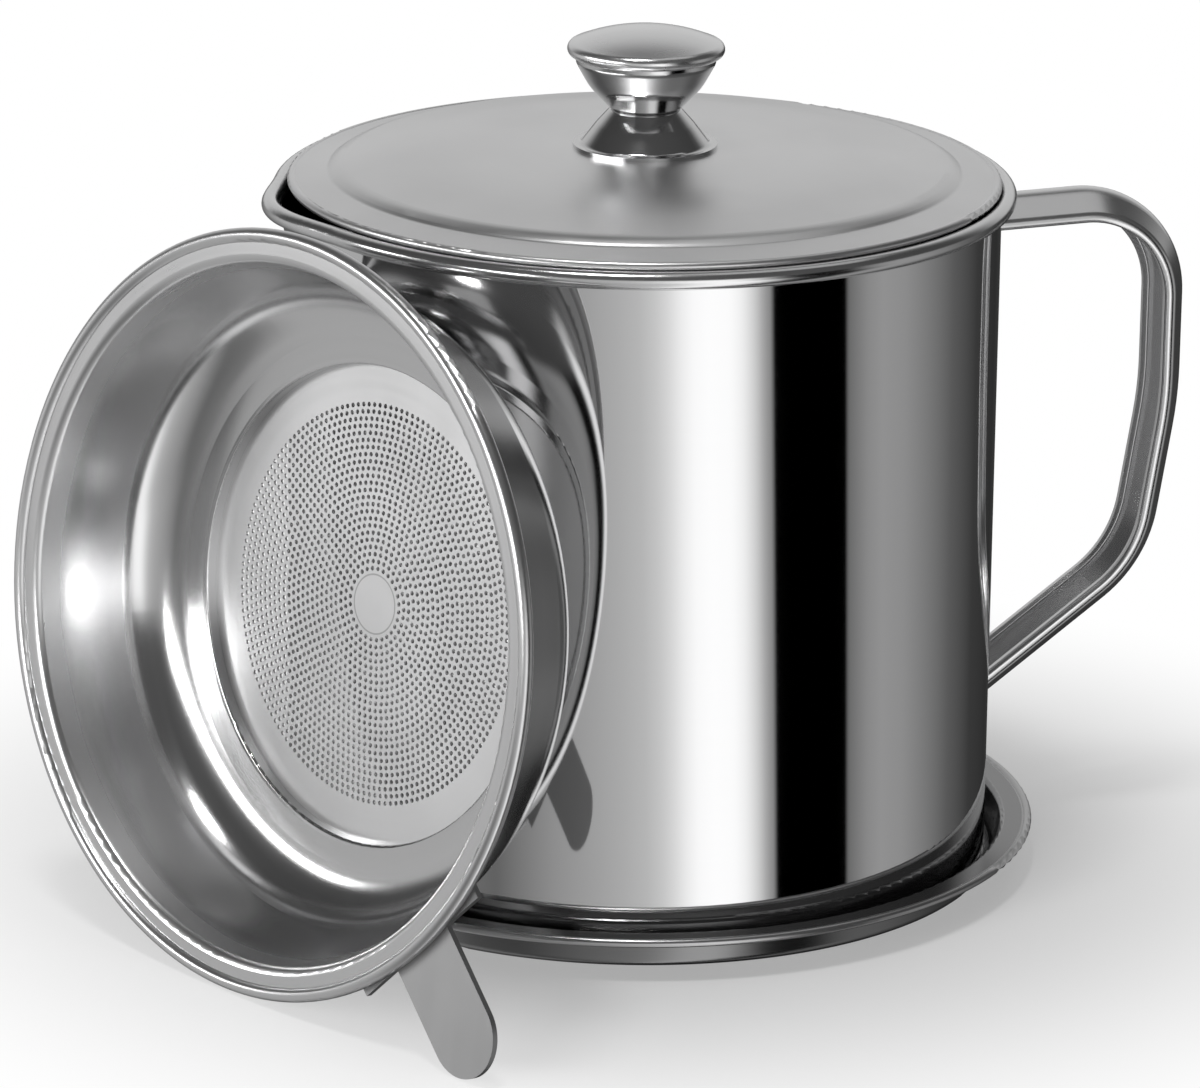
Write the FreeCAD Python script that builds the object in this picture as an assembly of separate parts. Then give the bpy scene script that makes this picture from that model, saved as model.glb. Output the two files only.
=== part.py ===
import FreeCAD, Part
import math
import os

# Bacon grease container: a drip tray, a mug with a rim spout and a strap handle, a domed lid
# with a spool knob, and a strainer that stands beside the mug and leans against it.
# Millimetres, +Z up. The origin is the centre of the tray's underside, the handle points along
# +X and the spout along -X.

V = FreeCAD.Vector
UP = V(0, 0, 1)
ACROSS = V(0, 1, 0)

# Air between pieces that lean or rest on a curved edge
rest_gap = 0.3

# Mug
mug_radius = 60.0
mug_wall_height = 115.9
mug_sheet = 0.6
mug_corner = 2.5
rim_bead = 1.5
rim_overhang = 1.0
rim_seam = 0.6

# Spout pressed into the rim
spout_reach = 3.0
spout_half_angle = 20.0
spout_height = 16.0

# Points that draw the spout from its middle to one side, levels that draw its height, and the
# fineness with which it is joined to the round wall
spout_points = 6
spout_levels = 6
join_fineness = 0.0001

# Tray
tray_height = 7.2
tray_sheet = 0.6
tray_corner = 2.0
tray_flare = 1.8
tray_brim_width = 4.2
tray_brim_corner = 0.4
tray_bead = 0.7
recess_gap = 0.8

# Handle: a channel bent in one plane
handle_width = 12.4
handle_crown = 3.4
handle_side = 1.7
handle_lip = 1.6
handle_sheet = 0.7
handle_fold = 0.2
handle_shoulder_bend = 1.2
handle_crown_bend = 4.4
handle_roof = 1.0
handle_reach = 37.5
handle_arm_drop = 5.3
handle_arm_rise = 1.2
handle_foot_height = 19.3
handle_knee_inset = 4.8
handle_knee_height = 23.7
handle_bow_height = 53.9
handle_top_bend = 19.5
handle_bow_bend = 70.0
handle_knee_bend = 24.0

# Lid
lid_ring_inset = 1.8
lid_sheet = 0.6
lid_bead = 0.8
lid_rise = 5.5
lid_seat_width = 3.9
lid_seat_bend = 150.0
lid_crown_width = 15.7
lid_crown_drop = 0.5
lid_crown_bend = 120.0
lid_shoulder_width = 1.6
lid_shoulder_drop = 2.7
lid_shoulder_bend = 5.0
lid_brim_width = 5.9
lid_crease_rise = 1.6
lid_crease_bend = 0.9

# Knob on the lid
knob_sheet = 0.6
knob_bell_radius = 12.15
knob_flange_width = 1.25
knob_flange_bend = 0.9
knob_bell_shoulder_radius = 8.3
knob_bell_shoulder_height = 3.9
knob_bell_bend = 6.0
knob_waist_radius = 5.9
knob_waist_height = 6.55
knob_waist_bend = 0.9
knob_bowl_belly_radius = 9.5
knob_bowl_belly_height = 3.75
knob_bowl_bend = 10.0
knob_bowl_radius = 11.75
knob_bowl_height = 8.85
knob_bowl_lip = 1.0
knob_bowl_lip_bend = 1.5
knob_cap_radius = 14.5
knob_cap_height = 4.8
knob_cap_flat_radius = 6.0
knob_cap_bend = 30.0
knob_cap_edge_rise = 1.6
knob_cap_edge_bend = 1.2
knob_cap_fold_radius = 12.3
knob_cap_fold_bend = 0.8
knob_cap_lip_radius = 10.9

# Fixing of the knob
insert_radius = 3.0
insert_flange_radius = 4.6
insert_flange_thick = 1.2
insert_height = 3.5
insert_lift = 0.4
screw_radius = 2.0
screw_head_radius = 4.0
screw_head_height = 2.0
screw_head_bend = 1.2
screw_hole_gap = 0.2
washer_radius = 5.0
washer_thick = 0.8

# Strainer, in its own frame: brim at z = 0, bowl below it, tab along +x
strainer_ring_offset = 0.2
strainer_sheet = 0.6
strainer_bead = 1.2
strainer_brim_drop = 1.5
strainer_brim_width = 3.7
strainer_mouth_bend = 0.9
strainer_wall_run = 6.2
strainer_floor_depth = 23.1
strainer_floor_bend = 10.3
strainer_ledge_width = 10.0
hem_width = 1.9
hem_top_depth = 23.3
hem_sheet = 0.5
hem_corner = 0.4
plate_depth = 25.4
plate_thick = 0.4
plate_edge_gap = 0.1
plate_bite = 1.0

# Perforation of the strainer plate
hole_radius = 0.9
hole_pitch = 3.6
hole_field_margin = 6.5
hole_blank_radius = 5.6
hole_sides = 8

# Finger tab of the strainer
tab_width = 14.2
tab_length = 21.8
tab_sheet = 1.0
tab_root_width = 32.0
tab_root_inset = 1.0

# How the strainer stands beside the mug
lean_angle = 7.4
lean_heading = -153.1
lean_side_shift = -6.3

# Heights and radii that follow from the sizes above
mug_base = tray_sheet
rim_height = mug_base + mug_wall_height
rim_radius = mug_radius + rim_overhang
wall_top = rim_height - rim_seam
spout_foot = rim_height - spout_height
spout_start = 180.0 - spout_half_angle
spout_end = 180.0 + spout_half_angle
bead_distance = rim_bead + lid_bead + rest_gap
lid_ring_radius = rim_radius - lid_ring_inset
lid_edge = rim_height + math.sqrt(bead_distance**2 - lid_ring_inset**2)
lid_top = lid_edge + lid_rise
waist = lid_top + knob_waist_height
bowl_top = waist + knob_bowl_height
strainer_ring = rim_radius + strainer_ring_offset
strainer_radius = strainer_ring + strainer_bead
strainer_mouth_radius = strainer_ring - strainer_brim_width
strainer_floor_radius = strainer_mouth_radius - strainer_wall_run
hem_radius = strainer_floor_radius - strainer_ledge_width
hem_inner_radius = hem_radius - hem_width
hem_middle_radius = hem_radius - hem_width / 2
back_depth = plate_depth + plate_thick + hem_sheet
tab_reach = strainer_radius + tab_length - tab_width / 2


def radial(u, v):
    """Point of a turned profile: u is the radius and v the height."""
    return V(u, 0, v)


def rounded_edges(corners, place):
    """Lines through the corners (u, v, bend radius), each inner corner rounded by its radius."""
    edges = []
    start = V(corners[0][0], corners[0][1], 0)
    for before, corner, after in zip(corners, corners[1:], corners[2:]):
        here = V(corner[0], corner[1], 0)
        inward = (here - V(before[0], before[1], 0)).normalize()
        outward = (V(after[0], after[1], 0) - here).normalize()
        turn = inward.getAngle(outward)
        reach = corner[2] * math.tan(turn / 2)
        first = here - inward * reach
        last = here + outward * reach
        to_centre = (outward - inward).normalize()
        middle = here + to_centre * corner[2] * (1 / math.cos(turn / 2) - 1)
        edges.append(Part.LineSegment(place(start.x, start.y), place(first.x, first.y)).toShape())
        arc = Part.Arc(place(first.x, first.y), place(middle.x, middle.y), place(last.x, last.y))
        edges.append(arc.toShape())
        start = last
    edges.append(Part.LineSegment(place(start.x, start.y), place(*corners[-1][:2])).toShape())
    return edges


def beside(corners, shift):
    """The same path moved to its left by shift, with the bends kept concentric."""
    points = [V(corner[0], corner[1], 0) for corner in corners]
    headings = [(b - a).normalize() for a, b in zip(points, points[1:])]
    lefts = [V(-heading.y, heading.x, 0) for heading in headings]
    moved = [points[0] + lefts[0] * shift]
    bends = [0.0]
    for index in range(1, len(points) - 1):
        before, after = lefts[index - 1], lefts[index]
        moved.append(points[index] + (before + after) * (shift / (1 + before.dot(after))))
        turn = headings[index - 1].cross(headings[index]).z
        bends.append(corners[index][2] - shift * math.copysign(1, turn))
    moved.append(points[-1] + lefts[-1] * shift)
    bends.append(0.0)
    return [(point.x, point.y, bend) for point, bend in zip(moved, bends)]


def strip(corners, thickness, place):
    """Face of sheet metal between a path and the path beside it; positive is the left side."""
    far_side = beside(corners, thickness)[::-1]
    edges = rounded_edges(corners, place)
    edges.append(Part.LineSegment(place(*corners[-1][:2]), place(*far_side[0][:2])).toShape())
    edges += rounded_edges(far_side, place)
    edges.append(Part.LineSegment(place(*far_side[-1][:2]), place(*corners[0][:2])).toShape())
    return Part.Face(Part.Wire(edges))


def spin(face):
    """Solid of revolution about the z axis."""
    return face.revolve(V(0, 0, 0), UP, 360)


def with_bead(sheet, ring_radius, height, bead):
    """Turned sheet whose edge is rolled into a round bead."""
    return sheet.fuse(Part.makeTorus(ring_radius, bead, V(0, 0, height))).removeSplitter()


def make_tray():
    foot = mug_radius + recess_gap + tray_sheet
    ring = foot + tray_flare + tray_brim_width
    bead_height = tray_height - tray_bead
    brim_underside = bead_height - tray_sheet / 2
    under = [(0, 0, 0),
             (foot, 0, tray_corner),
             (foot + tray_flare, brim_underside, tray_brim_corner),
             (ring, brim_underside, 0)]
    return with_bead(spin(strip(under, tray_sheet, radial)), ring, bead_height, tray_bead)


def on_circle(radius, angle, height):
    """Point at a radius and height, the angle in degrees from the handle."""
    turn = math.radians(angle)
    return V(radius * math.cos(turn), radius * math.sin(turn), height)


def spout_curve(radius, height):
    """Line round the spout at a height, leaving the mug's circle smoothly at both ends."""
    climb = (height - spout_foot) / spout_height
    points = []
    for step in range(-spout_points, spout_points + 1):
        off_axis = step / spout_points
        swell = spout_reach * climb**2 * (1 + math.cos(math.pi * off_axis)) / 2
        points.append(on_circle(radius + swell, 180.0 + spout_half_angle * off_axis, height))
    curve = Part.BSplineCurve()
    curve.interpolate(Points=points,
                      InitialTangent=on_circle(1, spout_start + 90, 0),
                      FinalTangent=on_circle(1, spout_end + 90, 0))
    return curve.toShape()


def spout_section(height):
    """Section of the spout's sheet at a height, closed where it meets the round wall."""
    inside = mug_radius - mug_sheet
    start_side, end_side = [
        Part.makeLine(on_circle(mug_radius, angle, height), on_circle(inside, angle, height))
        for angle in (spout_start, spout_end)
    ]
    return Part.Wire([spout_curve(mug_radius, height), end_side, spout_curve(inside, height), start_side])


def sweep(spine, section, steady):
    """Solid swept along a wire that lies in the plane across the steady direction."""
    shell = Part.BRepOffsetAPI.MakePipeShell(spine)
    shell.setBiNormalMode(steady)
    shell.add(section)
    shell.build()
    shell.makeSolid()
    return shell.shape()


def rim_section(angle):
    """Round section of the rolled rim at an angle from the handle."""
    centre = on_circle(rim_radius, angle, rim_height)
    return Part.Wire(Part.makeCircle(rim_bead, centre, on_circle(1, angle + 90, 0)))


def make_mug_rim():
    """Rolled rim: a ring of round section whose front follows the spout's lip."""
    ring = Part.Face(rim_section(spout_end)).revolve(V(0, 0, 0), UP, 360 - 2 * spout_half_angle)
    lip = sweep(Part.Wire(spout_curve(rim_radius, rim_height)), rim_section(spout_start), UP)
    return ring.fuse(lip).removeSplitter()


def make_mug_body():
    """Drawn cup whose wall swells into the spout and ends in the rolled rim."""
    outside = [(0, mug_base, 0),
               (mug_radius, mug_base, mug_corner),
               (mug_radius, wall_top, 0)]
    cup = spin(strip(outside, mug_sheet, radial))
    opening = Part.makeCylinder(rim_radius, spout_height, V(0, 0, spout_foot), UP, 2 * spout_half_angle)
    opening.rotate(V(0, 0, 0), UP, spout_start)
    rise = (wall_top - spout_foot) / spout_levels
    sections = [spout_section(spout_foot + rise * level) for level in range(spout_levels + 1)]
    spout = Part.makeLoft(sections, True, False)
    return cup.cut(opening).fuse([spout], join_fineness).cut(make_mug_rim()).removeSplitter()


def make_handle():
    arm = rim_height - handle_arm_drop
    outer = mug_radius + handle_reach
    foot = radial(mug_radius, mug_base + handle_foot_height)
    knee = radial(outer - handle_knee_inset, foot.z + handle_knee_height)
    inner_end = foot + (foot - knee).normalize() * handle_width
    path = [(mug_radius - handle_width, arm, 0),
            (outer, arm + handle_arm_rise, handle_top_bend),
            (outer, foot.z + handle_bow_height, handle_bow_bend),
            (knee.x, knee.z, handle_knee_bend),
            (inner_end.x, inner_end.z, 0)]
    spine = Part.Wire(rounded_edges(path, radial))

    start = radial(path[0][0], path[0][1])
    along = (radial(path[1][0], path[1][1]) - start).normalize()
    outward = ACROSS.cross(along) * -1
    half = handle_width / 2
    depth = handle_crown + handle_side
    fold = handle_sheet + handle_fold
    section = [(handle_lip - half, -depth, 0),
               (-half, -depth, fold),
               (-half, -handle_crown, handle_shoulder_bend),
               (0, handle_roof, handle_crown_bend),
               (half, -handle_crown, handle_shoulder_bend),
               (half, -depth, fold),
               (half - handle_lip, -depth, 0)]
    face = strip(section, -handle_sheet, lambda u, v: start + ACROSS * u + outward * v)

    wall = Part.makeCylinder(mug_radius, rim_height)
    return sweep(spine, face.OuterWire, ACROSS).cut(wall)


def make_lid():
    crease = lid_ring_radius - lid_brim_width
    shoulder = crease - lid_shoulder_width
    top = [(screw_radius + screw_hole_gap, lid_top, 0),
           (knob_bell_radius + lid_seat_width, lid_top, lid_seat_bend),
           (shoulder - lid_crown_width, lid_top - lid_crown_drop, lid_crown_bend),
           (shoulder, lid_top - lid_shoulder_drop, lid_shoulder_bend),
           (crease, lid_edge + lid_crease_rise, lid_crease_bend),
           (lid_ring_radius, lid_edge + lid_sheet, 0)]
    return with_bead(spin(strip(top, -lid_sheet, radial)), lid_ring_radius, lid_edge, lid_bead)


def make_knob_bell():
    flange_top = lid_top + knob_sheet
    outside = [(knob_bell_radius, flange_top, 0),
               (knob_bell_radius - knob_flange_width, flange_top, knob_flange_bend),
               (knob_bell_shoulder_radius, lid_top + knob_bell_shoulder_height, knob_bell_bend),
               (knob_waist_radius, waist, knob_waist_bend),
               (insert_radius, waist, 0)]
    return spin(strip(outside, knob_sheet, radial))


def make_knob_bowl():
    outside = [(insert_radius, waist, 0),
               (knob_waist_radius, waist, knob_waist_bend),
               (knob_bowl_belly_radius, waist + knob_bowl_belly_height, knob_bowl_bend),
               (knob_bowl_radius, bowl_top - knob_bowl_lip, knob_bowl_lip_bend),
               (knob_bowl_radius, bowl_top, 0)]
    return spin(strip(outside, knob_sheet, radial))


def make_knob_cap():
    top = bowl_top + knob_cap_height
    outside = [(0, top, 0),
               (knob_cap_flat_radius, top, knob_cap_bend),
               (knob_cap_radius, bowl_top + knob_cap_edge_rise, knob_cap_edge_bend),
               (knob_cap_fold_radius, bowl_top, knob_cap_fold_bend),
               (knob_cap_lip_radius, bowl_top, 0)]
    return spin(strip(outside, -knob_sheet, radial))


def make_knob_insert():
    seat = waist + knob_sheet
    neck = Part.makeCylinder(insert_radius, seat - lid_top - insert_lift, V(0, 0, lid_top + insert_lift))
    flange = Part.makeCylinder(insert_flange_radius, insert_flange_thick, V(0, 0, seat))
    crown = Part.makeCylinder(insert_radius, insert_height, V(0, 0, seat))
    bore = Part.makeCylinder(screw_radius, bowl_top - lid_top, V(0, 0, lid_top))
    return neck.fuse([flange, crown]).cut(bore).removeSplitter()


def make_knob_washer():
    under_lid = lid_top - lid_sheet
    disc = Part.makeCylinder(washer_radius, washer_thick, V(0, 0, under_lid - washer_thick))
    hole = Part.makeCylinder(screw_radius + screw_hole_gap, lid_top, V(0, 0, 0))
    return disc.cut(hole)


def make_knob_screw():
    head_top = lid_top - lid_sheet - washer_thick
    head_bottom = head_top - screw_head_height
    tip = waist + knob_sheet + insert_height
    profile = [(0, head_bottom, 0),
               (screw_head_radius, head_bottom, screw_head_bend),
               (screw_head_radius, head_top, 0)]
    edges = rounded_edges(profile, radial)
    rest = [(screw_head_radius, head_top), (screw_radius, head_top), (screw_radius, tip), (0, tip),
            (0, head_bottom)]
    edges += [Part.LineSegment(radial(*a), radial(*b)).toShape() for a, b in zip(rest, rest[1:])]
    return spin(Part.Face(Part.Wire(edges)))


def make_strainer_bowl():
    """Bowl turned from one sheet: rolled brim, steep wall, and a hem that grips the plate."""
    under = [(hem_middle_radius, -hem_top_depth - strainer_sheet, 0),
             (strainer_floor_radius, -strainer_floor_depth, strainer_floor_bend),
             (strainer_mouth_radius, -strainer_brim_drop, strainer_mouth_bend),
             (strainer_ring, -strainer_bead - strainer_sheet / 2, 0)]
    hem = [(hem_middle_radius, -back_depth, 0),
           (hem_inner_radius, -back_depth, hem_corner),
           (hem_inner_radius, -hem_top_depth, hem_corner),
           (hem_radius, -hem_top_depth, hem_corner),
           (hem_radius, -back_depth, hem_corner),
           (hem_middle_radius, -back_depth, 0)]
    folded = spin(Part.Face(Part.Wire(rounded_edges(hem, radial))))
    slot = Part.makeCylinder(hem_inner_radius + plate_bite + plate_edge_gap, plate_thick,
                             V(0, 0, -plate_depth - plate_thick))
    bowl = spin(strip(under, strainer_sheet, radial)).fuse(folded).cut(slot)
    return with_bead(bowl, strainer_ring, -strainer_bead, strainer_bead)


def hole_centres():
    """Centres of the plate's holes: rings round a blank disc, evenly spaced on each ring."""
    outermost = hem_inner_radius - hole_field_margin - hole_radius
    rings = int((outermost - hole_blank_radius) / hole_pitch) + 1
    for number in range(rings):
        ring_radius = outermost - number * hole_pitch
        count = round(2 * math.pi * ring_radius / hole_pitch)
        for step in range(count):
            angle = 2 * math.pi * (step + number / 2) / count
            yield V(ring_radius * math.cos(angle), ring_radius * math.sin(angle), -plate_depth)


def make_strainer_plate():
    disc = Part.Wire(Part.makeCircle(hem_inner_radius + plate_bite, V(0, 0, -plate_depth)))
    holes = []
    for centre in hole_centres():
        corners = []
        for side in range(hole_sides + 1):
            angle = 2 * math.pi * side / hole_sides
            corners.append(centre + V(hole_radius * math.cos(angle), hole_radius * math.sin(angle), 0))
        holes.append(Part.makePolygon(corners))
    return Part.Face([disc] + holes).extrude(V(0, 0, -plate_thick))


def make_strainer_tab():
    """Flat tongue with a wider root that follows the bowl's wall under the brim."""
    top = -2 * strainer_bead
    wall_slope = (strainer_mouth_radius - strainer_floor_radius) / (strainer_floor_depth - strainer_brim_drop)
    wall = strainer_mouth_radius - (-top - strainer_brim_drop) * wall_slope
    half = tab_width / 2
    length = tab_reach - wall / 2
    tongue = Part.makeBox(length, tab_width, tab_sheet, V(wall / 2, -half, top - tab_sheet))
    end = Part.makeCylinder(half, tab_sheet, V(tab_reach, 0, top - tab_sheet))
    root = Part.makeBox(strainer_radius - tab_root_inset - wall / 2, tab_root_width, tab_sheet,
                        V(wall / 2, -tab_root_width / 2, top - tab_sheet))
    bowl = Part.makeCylinder(wall, tab_sheet, V(0, 0, top - tab_sheet))
    return tongue.fuse([end, root]).cut(bowl).removeSplitter()


def leaning_place():
    """Where the strainer stands: brim and tab tip on the ground, hem against the mug's wall."""
    lean = math.radians(lean_angle)
    heading = math.radians(lean_heading)
    facing = V(math.cos(heading) * math.cos(lean), math.sin(heading) * math.cos(lean), math.sin(lean))
    sideways = facing.cross(UP).normalize()
    upward = sideways.cross(facing)

    height = strainer_ring * math.cos(lean) + strainer_bead * math.sin(lean) + strainer_bead
    tab_depth = 2 * strainer_bead + tab_sheet
    tip_drop = (height - tab_depth * math.sin(lean)) / math.cos(lean) - tab_width / 2
    swing = math.acos(tip_drop / tab_reach)
    tab_heading = upward * -math.cos(swing) - sideways * math.sin(swing)

    back_rise = math.sqrt(hem_radius**2 - lean_side_shift**2)
    reach = mug_radius + rest_gap + back_depth * math.cos(lean) + back_rise * math.sin(lean)
    level = V(facing.x, facing.y, 0).normalize()
    centre = level * reach + sideways * lean_side_shift + UP * height

    side = facing.cross(tab_heading)
    matrix = FreeCAD.Matrix(tab_heading.x, side.x, facing.x, centre.x,
                            tab_heading.y, side.y, facing.y, centre.y,
                            tab_heading.z, side.z, facing.z, centre.z,
                            0, 0, 0, 1)
    return FreeCAD.Placement(matrix)


pieces = {
    "tray": make_tray(),
    "mug_body": make_mug_body(),
    "mug_rim": make_mug_rim(),
    "handle": make_handle(),
    "lid": make_lid(),
    "knob_bell": make_knob_bell(),
    "knob_bowl": make_knob_bowl(),
    "knob_cap": make_knob_cap(),
    "knob_insert": make_knob_insert(),
    "knob_washer": make_knob_washer(),
    "knob_screw": make_knob_screw(),
}
standing = {
    "strainer_bowl": make_strainer_bowl(),
    "strainer_plate": make_strainer_plate(),
    "strainer_tab": make_strainer_tab(),
}
place = leaning_place()
for name, shape in standing.items():
    shape.Placement = place.multiply(shape.Placement)
    pieces[name] = shape

os.makedirs("parts", exist_ok=True)
for name, shape in pieces.items():
    shape.exportStep("parts/" + name + ".step")
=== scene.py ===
import math

import bpy
from mathutils import Matrix, Vector
from mathutils.geometry import delaunay_2d_cdt


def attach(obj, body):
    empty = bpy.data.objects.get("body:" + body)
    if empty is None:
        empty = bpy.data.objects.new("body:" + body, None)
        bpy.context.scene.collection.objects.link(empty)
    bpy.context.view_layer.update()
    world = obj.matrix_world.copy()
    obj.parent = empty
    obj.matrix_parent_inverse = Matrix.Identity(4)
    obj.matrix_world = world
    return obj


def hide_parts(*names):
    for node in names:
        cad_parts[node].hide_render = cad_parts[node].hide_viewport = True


# Looks of the grease mug set: camera, studio, steels and the strainer's finely perforated plate.
# Metres, in the frame of the CAD model: +Z up, +X towards the handle.

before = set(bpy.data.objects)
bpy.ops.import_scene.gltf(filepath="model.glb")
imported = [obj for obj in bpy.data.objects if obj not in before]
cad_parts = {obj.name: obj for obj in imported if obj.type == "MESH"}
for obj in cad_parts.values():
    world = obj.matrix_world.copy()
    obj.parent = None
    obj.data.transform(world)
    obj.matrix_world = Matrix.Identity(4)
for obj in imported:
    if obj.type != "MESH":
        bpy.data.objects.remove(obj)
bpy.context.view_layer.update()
scene = bpy.context.scene
scene.view_settings.view_transform = "Standard"

MM = 0.001
UP = Vector((0, 0, 1))
WHITE = (1, 1, 1, 1)


def direction(heading, rise):
    """Unit vector at a heading in the floor's plane and a rise above it."""
    return Vector((math.cos(heading) * math.cos(rise),
                   math.sin(heading) * math.cos(rise),
                   math.sin(rise)))


def new_object(name, data):
    made = bpy.data.objects.new(name, data)
    scene.collection.objects.link(made)
    return made


# ---------------------------------------------------------------- camera

CAMERA_PLACE = Vector((-314.1, -1008.9, 380.1)) * MM
CAMERA_HEADING = math.radians(73.08)
CAMERA_DIP = math.radians(17.16)
CAMERA_ROLL = math.radians(0.58)
CAMERA_REACH = 20
FOCAL_PIXELS = 6471
IMAGE_WIDTH = 1200
SENSOR = 36.0


def make_camera():
    ahead = direction(CAMERA_HEADING, -CAMERA_DIP)
    level = ahead.cross(UP).normalized()
    top = level.cross(ahead)
    right = level * math.cos(CAMERA_ROLL) + top * math.sin(CAMERA_ROLL)
    turn = Matrix((right, right.cross(ahead), -ahead)).transposed()
    camera = new_object("camera", bpy.data.cameras.new("camera"))
    camera.data.sensor_width = SENSOR
    camera.data.lens = FOCAL_PIXELS / IMAGE_WIDTH * SENSOR
    camera.data.clip_end = CAMERA_REACH
    camera.matrix_world = Matrix.Translation(CAMERA_PLACE) @ turn.to_4x4()
    scene.camera = camera


make_camera()


# ---------------------------------------------------------------- node building

def new_tree(owner):
    """Empty shader tree of a world or a material."""
    owner.use_nodes = True
    owner.node_tree.nodes.clear()
    return owner.node_tree


def node(tree, kind, settings=None, **inputs):
    """Adds a shader node. Settings are its properties.

    Inputs are values or sockets, by the input's name with _ for a space, or by i and its number.
    """
    made = tree.nodes.new(kind)
    for key, value in (settings or {}).items():
        setattr(made, key, value)
    for key, value in inputs.items():
        by_number = key[0] == "i" and key[1:].isdigit()
        socket = made.inputs[int(key[1:]) if by_number else key.replace("_", " ")]
        if isinstance(value, bpy.types.NodeSocket):
            tree.links.new(value, socket)
        else:
            socket.default_value = value
    return made


def add(tree, kind, settings=None, **inputs):
    """Adds a shader node and gives its first output."""
    return node(tree, kind, settings, **inputs).outputs[0]


def numbered(values):
    return {f"i{number}": value for number, value in enumerate(values)}


def maths(tree, operation, *values):
    return add(tree, "ShaderNodeMath", {"operation": operation}, **numbered(values))


def vector_maths(tree, operation, *values):
    made = node(tree, "ShaderNodeVectorMath", {"operation": operation}, **numbered(values))
    return made.outputs["Value" if operation in ("DOT_PRODUCT", "LENGTH") else "Vector"]


def rescale(tree, value, low, high, new_low, new_high, shape="LINEAR"):
    return add(tree, "ShaderNodeMapRange", {"interpolation_type": shape},
               Value=value, From_Min=low, From_Max=high, To_Min=new_low, To_Max=new_high)


def ramp(tree, value, stops):
    """Grey ramp through (position, level) stops."""
    made = node(tree, "ShaderNodeValToRGB", Fac=value)
    elements = made.color_ramp.elements
    while len(elements) < len(stops):
        elements.new(1)
    for element, (position, level) in zip(elements, stops):
        element.position = position
        element.color = (level, level, level, 1)
    return made.outputs["Color"]


# ---------------------------------------------------------------- light

# Heading from the set towards the camera
FRONT = CAMERA_HEADING + math.pi

# Level of the studio's wall around the set, by degrees to the right of the camera
AROUND = ((-180, 0.05), (-150, 0.2), (-110, 0.5), (-86, 0.5), (-70, 0.22), (-50, 0.16),
          (-30, 0.36), (-15, 0.47), (-7, 0.54), (0, 0.62), (5, 0.74), (9, 0.9), (13, 1.12),
          (17, 1.28), (22, 1.33), (29, 1.31), (33, 1.15), (37, 0.8), (40, 0.46), (42.2, 0.32),
          (42.4, 0), (69, 0), (69.2, 0.17), (73, 0.24), (78, 0.33), (84, 0.38), (94, 0.35),
          (106, 0.25), (120, 0.13), (138, 0.05), (160, 0.03), (180, 0.05))

# Level above the studio's wall, by how far a direction points back towards the camera, -1 being
# straight away from it
ABOVE = ((-1, 0.68), (-0.95, 0.62), (-0.8, 0.56), (-0.66, 0.3), (-0.54, 0.1), (-0.4, 0.06),
         (0, 0.07), (1, 0.1))

# The wall is turned by these angles, in radians, at these two dips below the horizon, so that the
# bands that the mug mirrors stay upright down to its foot
TWIST_DIPS = (-0.36, -0.24)
TWISTS = (-0.07, 0.05)

# Heights between which the wall's upper edge is soft, on the side away from the camera, and how
# much higher it is on the camera's side
WALL_EDGE = (-0.1, 0.08)
WALL_RISE = 0.26

FLOOR_REACH = 6.0
FLOOR_GAP = 0.2 * MM
PAPER = (0.9, 0.9, 0.9, 1)

# The floor is part paper, which takes shadow, and part white light, which takes none. White's
# share is NEAR_WHITE up to NEAR_DISTANCE from the middle of the set, and all from WHITE_DISTANCE
NEAR_WHITE = 0.35
NEAR_DISTANCE = 0.06
WHITE_DISTANCE = 0.16


def make_world():
    world = bpy.data.worlds.new("studio")
    scene.world = world
    tree = new_tree(world)
    way = node(tree, "ShaderNodeTexCoord").outputs["Generated"]
    turned = add(tree, "ShaderNodeVectorRotate", {"rotation_type": "Z_AXIS"},
                 Vector=way, Angle=-FRONT)
    x, y, z = node(tree, "ShaderNodeSeparateXYZ", Vector=turned).outputs
    angle = maths(tree, "ADD", maths(tree, "ARCTAN2", y, x), rescale(tree, z, *TWIST_DIPS, *TWISTS))
    around = ramp(tree, rescale(tree, angle, -math.pi, math.pi, 0, 1),
                  [((degrees + 180) / 360, level) for degrees, level in AROUND])
    nearness = rescale(tree, x, -1, 1, 0, 1)
    above = ramp(tree, nearness, [((toward + 1) / 2, level) for toward, level in ABOVE])
    height = maths(tree, "MULTIPLY_ADD", nearness, -WALL_RISE, z)
    studio = add(tree, "ShaderNodeMixRGB", Color1=around, Color2=above,
                 Fac=rescale(tree, height, *WALL_EDGE, 0, 1, "SMOOTHSTEP"))
    seen = node(tree, "ShaderNodeLightPath").outputs["Is Camera Ray"]
    colour = add(tree, "ShaderNodeMixRGB", Fac=seen, Color1=studio, Color2=WHITE)
    background = add(tree, "ShaderNodeBackground", Color=colour)
    node(tree, "ShaderNodeOutputWorld", Surface=background)


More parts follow.
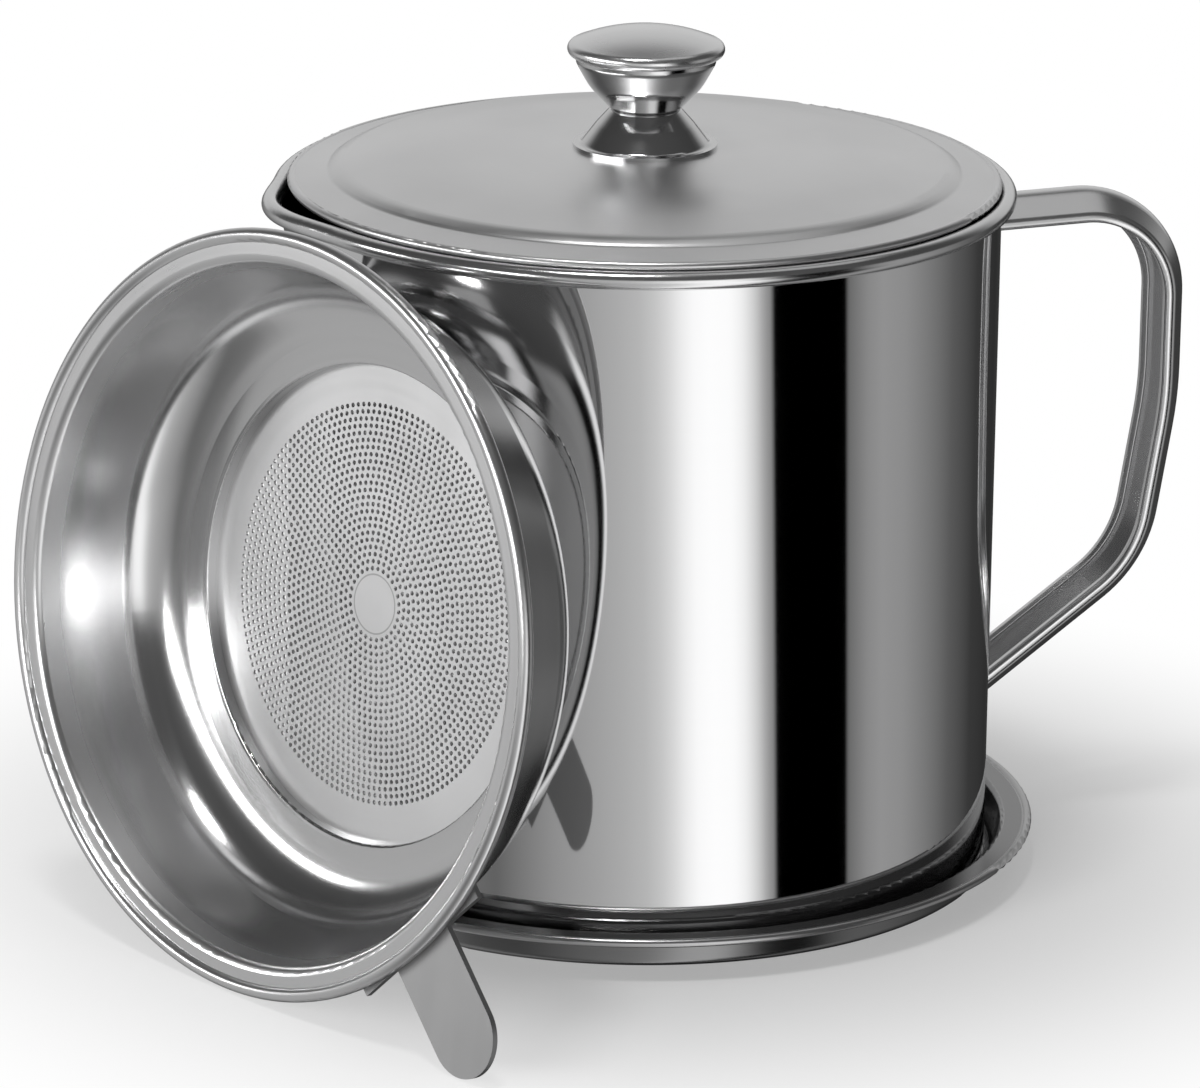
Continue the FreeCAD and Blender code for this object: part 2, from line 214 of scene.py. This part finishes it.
def make_floor():
    square = [Vector(corner) for corner in ((-1, -1, 0), (1, -1, 0), (1, 1, 0), (-1, 1, 0))]
    mesh = bpy.data.meshes.new("floor")
    mesh.from_pydata([corner * FLOOR_REACH for corner in square], [], [(0, 1, 2, 3)])
    floor = new_object("floor", mesh)
    floor.location.z = -FLOOR_GAP
    floor.visible_glossy = False
    material = bpy.data.materials.new("floor")
    tree = new_tree(material)
    place = node(tree, "ShaderNodeTexCoord").outputs["Object"]
    share = rescale(tree, vector_maths(tree, "LENGTH", place),
                    NEAR_DISTANCE, WHITE_DISTANCE, NEAR_WHITE, 1, "SMOOTHSTEP")
    paper = add(tree, "ShaderNodeBsdfDiffuse", Color=PAPER)
    white = add(tree, "ShaderNodeEmission", Color=WHITE, Strength=1)
    surface = add(tree, "ShaderNodeMixShader", i0=share, i1=paper, i2=white)
    node(tree, "ShaderNodeOutputMaterial", Surface=surface)
    mesh.materials.append(material)


def softbox(name, aim, bearing, rise, distance, size, power):
    """Area lamp that faces a point, at a bearing to the right of the camera and a rise above the
    floor, both in degrees.
    """
    way = direction(FRONT + math.radians(bearing), math.radians(rise))
    light = bpy.data.lights.new(name, "AREA")
    light.shape = "RECTANGLE"
    light.size, light.size_y = size
    light.energy = power
    lamp = new_object(name, light)
    lamp.location = Vector(aim) + way * distance
    lamp.rotation_euler = (-way).to_track_quat("-Z", "Y").to_euler()
    lamp.visible_camera = False


make_world()
make_floor()
softbox("key", aim=(-0.03, -0.02, 0.1), bearing=-30, rise=77, distance=1.5,
        size=(0.3, 0.25), power=6)
softbox("low_left", aim=(-0.06, -0.04, 0.06), bearing=-64, rise=14, distance=1.2,
        size=(1.35, 0.2), power=8)
softbox("top_right", aim=(0.06, 0, 0.1), bearing=118, rise=70, distance=1.5,
        size=(0.8, 0.8), power=0.8)


# ---------------------------------------------------------------- steel

# Where the strainer leans, as in the CAD model: the middle of its brim and the way it faces
STRAINER_CENTRE = Vector((-78.872, -47.079, 62.045)) * MM
STRAINER_AXIS = direction(math.radians(-153.1), math.radians(7.4))

# Axis and centre of the pieces that are spun upright, and of those of the strainer
SPUN_UP = (UP, Vector((0, 0, 0)))
SPUN_STRAINER = (STRAINER_AXIS, STRAINER_CENTRE)

# Fineness of the brushing on a spun piece and how much it changes round the axis, and its
# fineness and stretch on a piece that is brushed along its height
SPUN_SCALE = 5.0
SPUN_TURN = 0.9
STRAIGHT_SCALE = 3.0
STRAIGHT_STRETCH = (1000, 1000, 60)

# Fineness of the wide streaks, as a share of the brushing's
STREAK_SCALE = 0.12

# Shares of the roughness that the clouds vary, and of the streaks that show in the tone
CLOUDING = 0.5
STREAK_SHADE = 0.5

# Roughness that a satin part adds, blue of the tone as a share of its red, strength of the bump
SATIN = 0.12
BLUE_SHARE = 1.004
BUMP_STRENGTH = 0.5

# A scribed circle: how much it darkens, and half its width without and with its soft edge, in mm
CIRCLE_SHADE = 0.3
CIRCLE_LINE = 0.06
CIRCLE_EDGE = 0.2


def spun_coordinates(tree, place, axis, centre):
    """Radius and depth of a place about an axis, in mm, and the unit vector around it."""
    offset = vector_maths(tree, "SUBTRACT", place, tuple(centre))
    depth = vector_maths(tree, "DOT_PRODUCT", offset, tuple(axis))
    along = add(tree, "ShaderNodeVectorMath", {"operation": "SCALE"},
                Vector=tuple(axis), Scale=depth)
    flat = vector_maths(tree, "SUBTRACT", offset, along)
    radius = vector_maths(tree, "LENGTH", flat)
    around = vector_maths(tree, "NORMALIZE", flat)
    return maths(tree, "DIVIDE", radius, MM), maths(tree, "DIVIDE", depth, MM), around


def noise(tree, place, scale, detail, roughness):
    return add(tree, "ShaderNodeTexNoise",
               Vector=place, Scale=scale, Detail=detail, Roughness=roughness)


def varied(tree, middle, pattern, amount):
    """Middle value that a pattern between 0 and 1 raises and lowers."""
    return maths(tree, "MULTIPLY_ADD", maths(tree, "SUBTRACT", pattern, 0.5), amount, middle)


def steel(name, tone, rough, streak, grain=0.0, spun=None, satin=None, painted_shade=None, circle=None):
    """Stainless steel. Streak is how much its gloss varies, and grain the brushing's height in mm.

    The last three are for spun pieces. Satin gives two radii in mm between which the steel turns
    to satin; the next gives two radii and the amount of painted shade that darkens the colour
    between them, standing in for shade and dark reflections; and circle gives the radius at
    which a plain circle is scribed.
    """
    material = bpy.data.materials.new(name)
    tree = new_tree(material)
    place = node(tree, "ShaderNodeTexCoord").outputs["Object"]
    if spun:
        radius, depth, around = spun_coordinates(tree, place, *spun)
        section = add(tree, "ShaderNodeCombineXYZ", X=radius, Y=depth)
        turn = vector_maths(tree, "MULTIPLY", around, (SPUN_TURN, SPUN_TURN, SPUN_TURN))
        lines = vector_maths(tree, "ADD", section, turn)
        scale = SPUN_SCALE
    else:
        lines = vector_maths(tree, "MULTIPLY", place, STRAIGHT_STRETCH)
        scale = STRAIGHT_SCALE
    streaks = noise(tree, lines, scale=scale * STREAK_SCALE, detail=2.0, roughness=0.5)
    clouds = noise(tree, place, scale=35.0, detail=4.0, roughness=0.6)
    gloss = varied(tree, varied(tree, rough, streaks, streak), clouds, rough * CLOUDING)
    if satin:
        added = rescale(tree, radius, *satin, 0, SATIN, "SMOOTHSTEP")
        gloss = maths(tree, "ADD", gloss, added)
    shade = varied(tree, tone, streaks, streak * STREAK_SHADE)
    # Painted shade: the colour is darkened between two radii, in place of shade and dark
    # reflections
    if painted_shade:
        start, end, amount = painted_shade
        taken = rescale(tree, radius, start, end, 0, amount, "SMOOTHSTEP")
        shade = maths(tree, "SUBTRACT", shade, taken)
    if circle:
        away = maths(tree, "ABSOLUTE", maths(tree, "SUBTRACT", radius, circle))
        taken = rescale(tree, away, CIRCLE_LINE, CIRCLE_EDGE, CIRCLE_SHADE, 0, "SMOOTHSTEP")
        shade = maths(tree, "SUBTRACT", shade, taken)
    colour = add(tree, "ShaderNodeCombineColor",
                 Red=shade, Green=shade, Blue=maths(tree, "MULTIPLY", shade, BLUE_SHARE))
    surface = node(tree, "ShaderNodeBsdfPrincipled",
                   Base_Color=colour, Metallic=1.0, Roughness=gloss)
    if grain:
        brushing = noise(tree, lines, scale=scale, detail=3.0, roughness=0.6)
        bump = add(tree, "ShaderNodeBump",
                   Strength=BUMP_STRENGTH, Distance=grain * MM, Height=brushing)
        tree.links.new(bump, surface.inputs["Normal"])
    node(tree, "ShaderNodeOutputMaterial", Surface=surface.outputs["BSDF"])
    return material


def wear(material, *names):
    """Gives a material to the CAD model's nodes of these names."""
    for name in names:
        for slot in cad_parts[name].material_slots:
            slot.material = material


# The mug is satin on the inside of its wall, the tray on its bead and the strainer on its brim.
# The tray's colour is darkened inside its bead by painted shade, which stands in for the shade and
# dark reflections on its flat brim, recess and walls
wear(steel("tray_steel", tone=0.52, rough=0.2, streak=0.05, grain=0.0002, spun=SPUN_UP,
           satin=(66.2, 66.8), painted_shade=(66.8, 66.3, 0.28)), "tray")
wear(steel("mug_steel", tone=0.74, rough=0.045, streak=0.015, spun=SPUN_UP,
           satin=(59.8, 59.6)), "mug_body")
wear(steel("rim_steel", tone=0.74, rough=0.2, streak=0.03, spun=SPUN_UP), "mug_rim")
wear(steel("handle_steel", tone=0.82, rough=0.24, streak=0.04), "handle")
wear(steel("lid_steel", tone=0.78, rough=0.34, streak=0.05, grain=0.0006, spun=SPUN_UP), "lid")
wear(steel("knob_steel", tone=0.66, rough=0.12, streak=0.03, spun=SPUN_UP),
     "knob_bell", "knob_bowl")
wear(steel("cap_steel", tone=0.84, rough=0.26, streak=0.04, grain=0.0004, spun=SPUN_UP),
     "knob_cap")
wear(steel("fixing_steel", tone=0.6, rough=0.25, streak=0.05),
     "knob_insert", "knob_washer", "knob_screw")
wear(steel("strainer_steel", tone=0.7, rough=0.17, streak=0.07, grain=0.0006,
           spun=SPUN_STRAINER, satin=(55.2, 56)), "strainer_bowl")
plate_steel = steel("plate_steel", tone=0.82, rough=0.34, streak=0.05,
                    spun=SPUN_STRAINER, circle=4.9)
wear(plate_steel, "strainer_plate")
wear(steel("tab_steel", tone=0.5, rough=0.42, streak=0.05), "strainer_tab")


# ---------------------------------------------------------------- perforated plate

# Millimetres. The depth is measured down from the strainer's brim
PLATE_RADIUS = 40.4
PLATE_DEPTH = 25.4
PLATE_THICK = 0.4
RIM_SIDES = 180
HOLE_RINGS = 24
FIRST_RING = 5.9
RING_PITCH = 1.165
HOLE_PITCH = 1.32
HOLE_RADIUS = 0.4
HOLE_SIDES = 10

# What the triangulation gives, which is the triangles inside the outlines, and its fineness
INSIDE_OUTLINES = 1
JOIN_FINENESS = 1e-6

# A triangle lies in a hole if its middle is within this distance of the hole's. Holes are looked
# up by square cells of the plate, and are no wider than one
HOLE_REACH = HOLE_RADIUS * 0.95
CELL = 2


def circle_points(radius, sides, centre=(0, 0), start=0.0):
    """Evenly spaced points on a circle, the first of them a share of a step round."""
    turns = [2 * math.pi * (step + start) / sides for step in range(sides)]
    return [(centre[0] + radius * math.cos(turn), centre[1] + radius * math.sin(turn))
            for turn in turns]


def hole_centres():
    """Centres of the small holes, in rings that are set off by half a step from one another."""
    centres = []
    for ring in range(HOLE_RINGS):
        radius = FIRST_RING + ring * RING_PITCH
        count = round(2 * math.pi * radius / HOLE_PITCH)
        centres += circle_points(radius, count, start=ring % 2 / 2)
    return centres


def sides_of(loop):
    return list(zip(loop, loop[1:] + loop[:1]))


def cell_of(point):
    return int(point[0] // CELL), int(point[1] // CELL)


def sheet_between(points, rim, holes, centres):
    """Points and triangles of the flat sheet inside the rim and outside the holes."""
    outlines = [rim] + [hole[::-1] for hole in holes]
    edges = [side for outline in outlines for side in sides_of(outline)]
    result = delaunay_2d_cdt([Vector(point) for point in points], edges, [],
                             INSIDE_OUTLINES, JOIN_FINENESS)
    flat, triangles = result[0], result[2]
    cells = {}
    for centre in centres:
        cells.setdefault(cell_of(centre), []).append(Vector(centre))
    sheet = []
    for triangle in triangles:
        middle = sum((flat[n] for n in triangle), Vector((0, 0))) / len(triangle)
        column, row = cell_of(middle)
        near = [centre for i in (-1, 0, 1) for j in (-1, 0, 1)
                for centre in cells.get((column + i, row + j), [])]
        if all((middle - centre).length > HOLE_REACH for centre in near):
            sheet.append(tuple(triangle))
    return flat, sheet


def make_plate():
    """Plate with every hole cut through it, in place of the CAD model's coarser one."""
    centres = hole_centres()
    points = circle_points(PLATE_RADIUS, RIM_SIDES)
    rim = list(range(RIM_SIDES))
    holes = []
    for centre in centres:
        holes.append(list(range(len(points), len(points) + HOLE_SIDES)))
        points += circle_points(HOLE_RADIUS, HOLE_SIDES, centre)
    flat, sheet = sheet_between(points, rim, holes, centres)

    side = STRAINER_AXIS.cross(UP).normalized()
    rise = side.cross(STRAINER_AXIS)
    verts = [STRAINER_CENTRE + (side * point.x + rise * point.y - STRAINER_AXIS * depth) * MM
             for depth in (PLATE_DEPTH, PLATE_DEPTH + PLATE_THICK) for point in flat]
    below = len(flat)
    back = [tuple(n + below for n in reversed(triangle)) for triangle in sheet]
    rim_wall = [(a, b, b + below, a + below) for a, b in sides_of(rim)]
    hole_walls = [(a + below, b + below, b, a) for hole in holes for a, b in sides_of(hole)]

    mesh = bpy.data.meshes.new("perforated_plate")
    mesh.from_pydata(verts, [], sheet + back + rim_wall + hole_walls)
    mesh.validate()
    mesh.update()
    mesh.materials.append(plate_steel)
    plate = new_object("perforated_plate", mesh)
    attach(plate, "strainer")
    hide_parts("strainer_plate")


make_plate()
